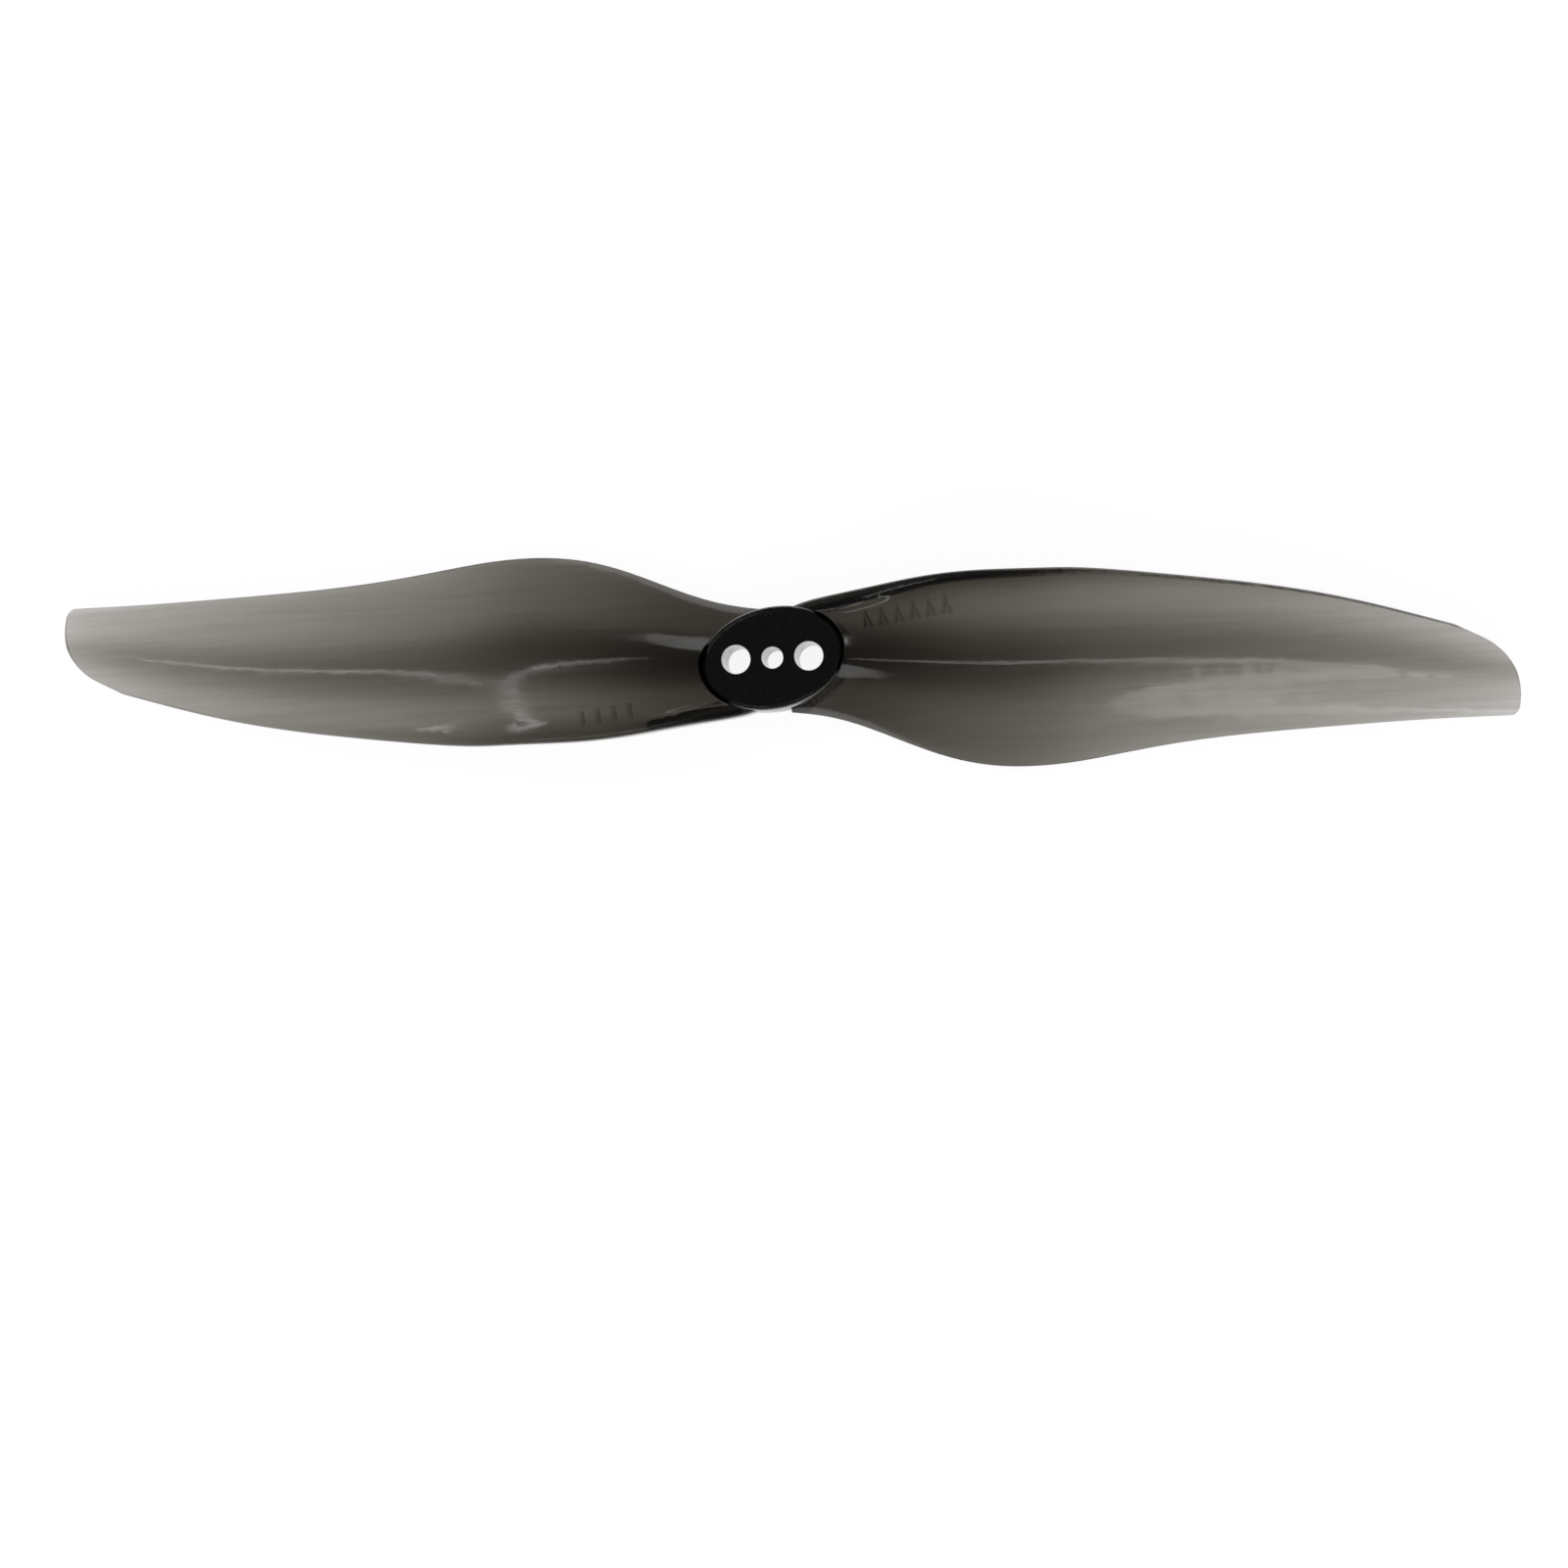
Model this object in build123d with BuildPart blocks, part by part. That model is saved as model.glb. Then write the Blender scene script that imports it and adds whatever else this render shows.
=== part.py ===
from build123d import *
from collections import namedtuple
from math import asin, cos, degrees, radians, sin
import os

# A two-blade propeller for a small quadcopter, in millimetres. The real one is a single moulding,
# modelled as its hub and two blades that meet face to face on the hub's wall.
# Origin: the shaft axis at the hub's lower face. +Z is up, along the thrust, and +X runs along the
# two screw holes. Seen from above it turns counter-clockwise.

# Overall size
tip_radius = 50.8  # a 4 inch propeller
hub_length = 10.1
hub_width = 7.0
hub_height = 5.0
hub_turn = 10.0  # degrees from +X to the long axis of the oval hub

# Motor interface
shaft_bore_radius = 0.75  # slides on a 1.5 mm shaft
screw_hole_radius = 1.0  # takes an M2 screw
screw_spacing = 5.0
hole_edge_break = 0.12  # at the lower face only

# Edges of the hub
rim_radius = 0.4  # rounding of the upper rim
foot_break = 0.15  # bevel round the lower face

# Marks left by the mould's ejector pins
ejector_mark_radius = 0.65
ejector_mark_depth = 0.08
ejector_mark_offset = 2.35  # from the shaft axis, across the screw line

# Form of a blade section. Places run along the chord from the trailing edge, 0, to the leading
# edge, 1. Each row gives a place and the thickness there over the section's greatest thickness.
form = [(0.0, 0.5), (0.1, 0.6), (0.26, 0.66), (0.4, 0.76), (0.56, 1.0), (0.78, 0.78), (0.92, 0.64)]
belly_places = [0.84, 0.6, 0.3, 0.0]
belly_share = 0.34  # depth of the underside below the middle line, over the thickness
camber_share = 0.045  # height of the middle line over the chord
nose_share = 0.26  # length of the rounded leading edge over the thickness
root_start_lead = 1.55  # x of the small flats at the root, which keep the edges from thinning out
root_start_trail = 0.9
root_lap_lead = 2.1  # how far inside the hub's side the innermost section ends
root_lap_trail = 0.4

# Blade tip, seen from above
tip_margin = 0.02  # how far the last section lies past the tip circle, over the tip radius
tip_lead = -2.25  # y of the tip's corners before they are rounded
tip_trail = -6.2
tip_lead_slope = -27.5  # direction of the leading edge as it reaches the tip, degrees from +X
tip_lead_round = 4.4
tip_trail_round = 0.8

# Raised marks on the blades: chevrons that point the way the blade moves, and plain size bars
mark_height = 0.2
mark_line = 0.28
mark_turn = 7.0  # degrees from +X to the row of marks
chevron_row = (9.3, 2.6)  # middle of the row
chevron_count = 6
chevron_pitch = 1.1
chevron_width = 0.8
chevron_length = 1.3
bar_row = (11.4, 3.4)
bar_count = 4
bar_pitch = 1.1
bar_length = 1.0

# One row for each blade section, from the hub outwards: its distance from the shaft over the tip
# radius, the y of its leading edge, the y of its trailing edge, its pitch angle in degrees, the
# height of its middle above the middle of the hub, its greatest thickness, and how far its leading
# edge is turned down below the underside.
Section = namedtuple("Section", "station lead trail pitch rise thickness lip")
sections = [
    Section(-0.025, hub_width / 2 - root_lap_lead, root_lap_trail - hub_width / 2, 20, 0.3, 3.0, 1.0),
    Section(0.08, 4.1, -4.1, 20, 0.65, 3.0, 1.2),
    Section(0.16, 4.65, -5.7, 22, 1.25, 2.6, 1.2),
    Section(0.24, 5.1, -7.3, 23.5, 1.1, 2.15, 1.1),
    Section(0.32, 5.15, -8.0, 23, 0.95, 1.9, 1.0),
    Section(0.4, 5.1, -7.9, 20, 0.6, 1.65, 0.8),
    Section(0.51, 4.55, -7.15, 16, 0.3, 1.4, 0.5),
    Section(0.65, 3.5, -6.55, 14, 0.1, 1.2, 0.3),
    Section(0.79, 1.95, -6.3, 12, -0.15, 1.0, 0.15),
    Section(0.905, 0.2, -6.2, 9.5, -0.5, 0.8, 0.08),
    Section(1 + tip_margin, -1.2, -6.2, 7.5, -0.88, 0.5, 0.05),
]


def on_tip_circle(angle):
    """A point on the circle that the tips run on, at an angle in degrees from +X."""
    return (tip_radius * cos(radians(angle)), tip_radius * sin(radians(angle)))


def section_plane(section):
    """The plane across the blade whose x axis runs up the chord to the leading edge."""
    middle_y = (section.lead + section.trail) / 2
    middle_z = hub_height / 2 + section.rise
    slope = radians(section.pitch)
    chord_way = (0, cos(slope), sin(slope))
    reach = tip_radius * section.station
    return Plane(origin=(reach, middle_y, middle_z), x_dir=chord_way, z_dir=(1, 0, 0))


def belly_point(section, chord, place):
    """A point of the arched underside, at a place along the chord."""
    arch = 4 * place * (1 - place) * camber_share * chord
    return (chord * (place - 0.5), arch - belly_share * section.thickness)


# The hub: an oval boss with the shaft bore, two screw holes and two ejector marks
with BuildPart() as hub:
    with BuildSketch():
        Ellipse(hub_length / 2, hub_width / 2, rotation=hub_turn)
    extrude(amount=hub_height)
    fillet(hub.faces().sort_by(Axis.Z)[-1].edges(), radius=rim_radius)
    chamfer(hub.faces().sort_by(Axis.Z)[0].edges(), length=foot_break)
    with Locations((0, 0, hub_height)):
        Hole(shaft_bore_radius)
        with GridLocations(screw_spacing, 0, 2, 1):
            Hole(screw_hole_radius)
    chamfer(hub.edges().filter_by(GeomType.CIRCLE).group_by(Axis.Z)[0], length=hole_edge_break)
    with BuildSketch(Plane.XY.offset(hub_height)):
        with GridLocations(0, 2 * ejector_mark_offset, 1, 2):
            Circle(ejector_mark_radius)
    extrude(amount=-ejector_mark_depth, mode=Mode.SUBTRACT)

# The plain blade on the +X side, before its marks
with BuildPart() as plain_blade:
    for section in sections:
        chord = (section.lead - section.trail) / cos(radians(section.pitch))
        back = []
        for place, share in form:
            x, y = belly_point(section, chord, place)
            back.append((x, y + share * section.thickness))
        belly = [belly_point(section, chord, place) for place in belly_places]
        nose = nose_share * section.thickness
        shoulder = (chord / 2 - nose, back[-1][1] - nose / 4)
        down = Vector(-sin(radians(section.pitch)), -cos(radians(section.pitch)))
        inward = Vector(down.Y, -down.X)
        front = Vector(chord / 2, 0)
        toe = front + down * (belly_share * section.thickness + section.lip)
        toe_front = toe - down * nose / 2
        toe_back = toe_front + inward * nose
        with BuildSketch(section_plane(section)):
            with BuildLine():
                Spline(*back, shoulder)
                Spline(shoulder, front, tangents=[(1, -0.3), down])
                Line(front, toe_front)
                ThreePointArc(toe_front, toe + inward * nose / 2, toe_back)
                Spline(toe_back, *belly)
                Line(belly[-1], back[0])
            make_face()
    loft()

    # The outline seen from above: a short flat at the root, and the tip
    lead_angle = degrees(asin(tip_lead / tip_radius))
    trail_angle = degrees(asin(tip_trail / tip_radius))
    lead_corner = on_tip_circle(lead_angle)
    trail_corner = on_tip_circle(trail_angle)
    lead_run = (root_start_lead - lead_corner[0]) / cos(radians(tip_lead_slope))
    with BuildSketch(Plane.XY.offset(-hub_height)) as plan:
        with BuildLine():
            lead_edge = PolarLine(lead_corner, lead_run, tip_lead_slope)
            ThreePointArc(lead_corner, on_tip_circle((lead_angle + trail_angle) / 2), trail_corner)
            Polyline(trail_corner, (root_start_trail, -tip_radius / 4), (root_start_trail, 0),
                     (root_start_lead, 0), lead_edge @ 1)
        make_face()
        fillet(plan.vertices().sort_by_distance(lead_corner)[0], radius=tip_lead_round)
        fillet(plan.vertices().sort_by_distance(trail_corner)[0], radius=tip_trail_round)
    extrude(amount=3 * hub_height, mode=Mode.INTERSECT)

    # The hub's own space, with the room above it for the screw heads
    with BuildSketch(Plane.XY.offset(-hub_height)):
        Ellipse(hub_length / 2, hub_width / 2, rotation=hub_turn)
    extrude(amount=3 * hub_height, mode=Mode.SUBTRACT)

# A copy of the blade's surface, lifted by the height of the marks, is the top of every mark
lifted_blade = plain_blade.part.moved(Location((0, 0, mark_height)))

point = chevron_length / 2
arm = chevron_width / 2
with BuildPart() as chevrons:
    with BuildSketch(Plane(origin=(*chevron_row, hub_height / 2)).rotated((0, 0, mark_turn))):
        with GridLocations(chevron_pitch, 0, chevron_count, 1):
            Polygon((-arm, -point), (0, point), (arm, -point), (arm - mark_line, -point),
                    (0, point - 1.4 * mark_line), (mark_line - arm, -point), align=None)
    extrude(amount=2 * hub_height)
    add(lifted_blade, mode=Mode.INTERSECT)

with BuildPart() as size_bars:
    with BuildSketch(Plane(origin=(*bar_row, hub_height / 2)).rotated((0, 0, mark_turn))):
        with GridLocations(bar_pitch, 0, bar_count, 1):
            Rectangle(mark_line, bar_length)
    extrude(amount=2 * hub_height)
    add(lifted_blade, mode=Mode.INTERSECT)

with BuildPart() as blade_right:
    add(plain_blade.part)
    add(chevrons.part)

# The blade on the -X side is the same shape turned half a turn about the shaft
with BuildPart() as blade_left:
    add(plain_blade.part.rotate(Axis.Z, 180))
    add(size_bars.part.rotate(Axis.Z, 180))

os.makedirs("parts", exist_ok=True)
hub.part.label = "hub"
blade_right.part.label = "blade_right"
blade_left.part.label = "blade_left"
export_step(hub.part, "parts/hub.step")
export_step(blade_right.part, "parts/blade_right.step")
export_step(blade_left.part, "parts/blade_left.step")
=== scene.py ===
from math import radians

import bpy
from mathutils import Matrix, Vector


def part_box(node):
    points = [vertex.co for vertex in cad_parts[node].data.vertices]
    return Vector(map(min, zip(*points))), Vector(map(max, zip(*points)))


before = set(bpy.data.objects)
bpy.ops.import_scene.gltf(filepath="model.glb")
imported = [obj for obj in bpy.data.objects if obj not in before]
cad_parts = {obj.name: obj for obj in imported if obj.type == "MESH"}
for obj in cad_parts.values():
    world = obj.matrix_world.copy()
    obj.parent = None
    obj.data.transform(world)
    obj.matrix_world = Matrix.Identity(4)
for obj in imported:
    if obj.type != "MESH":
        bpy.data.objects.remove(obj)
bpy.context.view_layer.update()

# The propeller: a hub and two blades of smoke-tinted clear polycarbonate, which lies with the hub's
# lower face on white paper. Every piece is one of the frame's own nodes, in metres.
MM = 0.001
hub_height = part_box("hub")[1].z

# The plastic
refraction = 1.585  # polycarbonate
tint_density = 1.79 / MM  # how fast the tint takes up light
tint_colour = (0.106, 0.065, 0.0, 1)  # the rest of what is not taken up, a little warm
edge_rounding = 0.12 * MM
sharp_edge = 35  # degrees between two faces that leaves a visible edge

# The floor and the room
floor_size = 3.0
room_strength = 0.1

# The camera, nearly straight above the hub. Turns are in degrees.
camera_away = 197.5 * MM
camera_roll = 2.59
camera_nod = -3.74
camera_lean = -4.91
lens_mm = 66.33
sensor_mm = 36
frame_shift = (0.0075, -0.0806)


def hex_colour(code):
    """Turns an sRGB hex value to the linear colour that a shader takes."""
    values = []
    for place in (0, 2, 4):
        part = int(code[place:place + 2], 16) / 255
        values.append(part / 12.92 if part <= 0.04045 else ((part + 0.055) / 1.055) ** 2.4)
    return (*values, 1.0)


def add_node(tree, kind, settings=None, links=None):
    """Adds one node, sets its properties and input values, and links other sockets into it."""
    node = tree.nodes.new(kind)
    for name, value in (settings or {}).items():
        if hasattr(node, name):
            setattr(node, name, value)
        else:
            node.inputs[name].default_value = value
    for name, socket in (links or {}).items():
        tree.links.new(socket, node.inputs[name])
    return node


def add_ramp(tree, value, low, low_code, high, high_code):
    """A colour that goes from one hex value to another as a value rises from low to high."""
    ramp = add_node(tree, "ShaderNodeValToRGB", {}, {"Fac": value})
    first, last = ramp.color_ramp.elements
    first.position = low
    first.color = hex_colour(low_code)
    last.position = high
    last.color = hex_colour(high_code)
    return ramp.outputs["Color"]


def new_material(name):
    """A material with an empty node tree but for its output node."""
    material = bpy.data.materials.new(name)
    material.use_nodes = True
    material.node_tree.nodes.clear()
    return material, material.node_tree, add_node(material.node_tree, "ShaderNodeOutputMaterial")


def tinted_polycarbonate():
    """Clear plastic with a smoke tint: the eye sees it darker the deeper the light goes through it."""
    material, tree, output = new_material("smoke_polycarbonate")
    place = add_node(tree, "ShaderNodeTexCoord").outputs["Object"]

    # Flow lines of the melt, drawn out along the blade: about 0.5 mm apart and 12 mm long
    stretch = (1 / (12 * MM), 1 / (0.5 * MM), 1 / (2 * MM))
    stretched = add_node(tree, "ShaderNodeMapping", {"Scale": stretch}, {"Vector": place}).outputs["Vector"]
    flow = add_node(tree, "ShaderNodeTexNoise", {"Scale": 1.0, "Detail": 3.0, "Roughness": 0.6},
                    {"Vector": stretched}).outputs["Fac"]
    # Slow waves from uneven shrinking, about 4 mm across
    waves = add_node(tree, "ShaderNodeTexNoise", {"Scale": 1 / (4 * MM), "Detail": 1.0},
                     {"Vector": place}).outputs["Fac"]
    # Fine grain of the mould's polish, about 0.25 mm
    grain = add_node(tree, "ShaderNodeTexNoise", {"Scale": 1 / (0.25 * MM), "Detail": 2.0},
                     {"Vector": place}).outputs["Fac"]

    # Every sharp edge catches the light as if it were rounded, and the three reliefs lie on top
    rounded = add_node(tree, "ShaderNodeBevel", {"samples": 6, "Radius": edge_rounding}).outputs["Normal"]
    relief = rounded
    for height, depth in ((waves, 0.05), (flow, 0.004), (grain, 0.0015)):
        relief = add_node(tree, "ShaderNodeBump", {"Strength": 1.0, "Distance": depth * MM},
                          {"Height": height, "Normal": relief}).outputs["Normal"]
    rough = add_node(tree, "ShaderNodeMapRange",
                     {"From Min": 0.3, "From Max": 0.7, "To Min": 0.06, "To Max": 0.2}, {"Value": flow})

    # Painted shade: where the rounded normal turns steep, the base colour goes to dark grey. This stands in
    # for the light that a steep edge bends along the inside of the blade and loses, so edges look dark
    way = add_node(tree, "ShaderNodeSeparateXYZ", {}, {"Vector": rounded})
    level = add_node(tree, "ShaderNodeMath", {"operation": "ABSOLUTE"}, {"Value": way.outputs["Z"]})
    painted_edge_shade = add_ramp(tree, level.outputs["Value"], 0.35, "303030", 0.88, "FFFFFF")
    # Faint lengthwise streaks of denser tint
    streak = add_ramp(tree, flow, 0.35, "F3F2F1", 0.6, "FFFFFF")
    # Base colour: the painted shade on steep edges, multiplied by the faint streaks of denser tint
    colour = add_node(tree, "ShaderNodeMix", {"data_type": "RGBA", "blend_type": "MULTIPLY", "Factor": 1.0},
                      {"A": painted_edge_shade, "B": streak})

    surface = add_node(tree, "ShaderNodeBsdfPrincipled", {"IOR": refraction, "Transmission Weight": 1.0},
                       {"Base Color": colour.outputs["Result"], "Roughness": rough.outputs["Result"],
                        "Normal": relief})
    tint = add_node(tree, "ShaderNodeVolumeAbsorption", {"Color": tint_colour, "Density": tint_density})
    tree.links.new(surface.outputs["BSDF"], output.inputs["Surface"])
    tree.links.new(tint.outputs["Volume"], output.inputs["Volume"])
    return material


def white_paper():
    """Plain white paper that glows a little, so that it stays white under the blades."""
    material, tree, output = new_material("white_paper")
    sheet = add_node(tree, "ShaderNodeBsdfPrincipled",
                     {"Base Color": (0.8, 0.8, 0.8, 1), "Emission Color": (1, 1, 1, 1),
                      "Emission Strength": 0.9})
    tree.links.new(sheet.outputs["BSDF"], output.inputs["Surface"])
    return material


def softbox(name, place, aim, width, height, power):
    """An oblong area light that faces a point."""
    data = bpy.data.lights.new(name, "AREA")
    data.shape = "RECTANGLE"
    data.size = width
    data.size_y = height
    data.energy = power
    lamp = bpy.data.objects.new(name, data)
    bpy.context.scene.collection.objects.link(lamp)
    way = Vector(place) - Vector(aim)
    lamp.matrix_world = Matrix.Translation(place) @ way.to_track_quat("Z", "Y").to_matrix().to_4x4()


# Hub and blades: one plastic, smooth faces, and edges only where two faces meet sharply
plastic = tinted_polycarbonate()
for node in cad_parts.values():
    node.data.materials.clear()
    node.data.materials.append(plastic)
    for face in node.data.polygons:
        face.use_smooth = True
    weld = node.modifiers.new("weld", "WELD")
    weld.merge_threshold = 0.001 * MM
    split = node.modifiers.new("edges", "EDGE_SPLIT")
    split.split_angle = radians(sharp_edge)

# Floor
bpy.ops.object.select_all(action="DESELECT")
bpy.ops.mesh.primitive_plane_add(size=floor_size, location=(0, 0, 0))
floor = bpy.context.active_object
floor.name = "floor"
floor.data.materials.append(white_paper())

# Room light
world = bpy.data.worlds.new("studio")
bpy.context.scene.world = world
world.use_nodes = True
room = world.node_tree.nodes["Background"]
room.inputs["Color"].default_value = (1, 1, 1, 1)
room.inputs["Strength"].default_value = room_strength

# Two strip lights: the first leaves a thin streak on the left blade, the second a sheen on the right
softbox("strip_behind", (-0.2, 0.21, 0.45), (-0.03, 0, 0), 0.25, 0.03, 0.07)
softbox("strip_front", (0.0, -0.4, 0.4), (0, 0, 0), 0.5, 0.05, 0.15)

# Camera
camera_data = bpy.data.cameras.new("camera")
camera_data.lens = lens_mm
camera_data.sensor_width = sensor_mm
camera_data.shift_x, camera_data.shift_y = frame_shift
camera_data.clip_start = MM
camera = bpy.data.objects.new("camera", camera_data)
bpy.context.scene.collection.objects.link(camera)
turn = (Matrix.Rotation(radians(camera_roll), 3, "Z") @ Matrix.Rotation(radians(camera_nod), 3, "X")
        @ Matrix.Rotation(radians(camera_lean), 3, "Y")).transposed()
camera_place = Vector((0, 0, hub_height)) + turn @ Vector((0, 0, camera_away))
camera.matrix_world = Matrix.Translation(camera_place) @ turn.to_4x4()
bpy.context.scene.camera = camera

bpy.context.scene.view_settings.view_transform = "Standard"
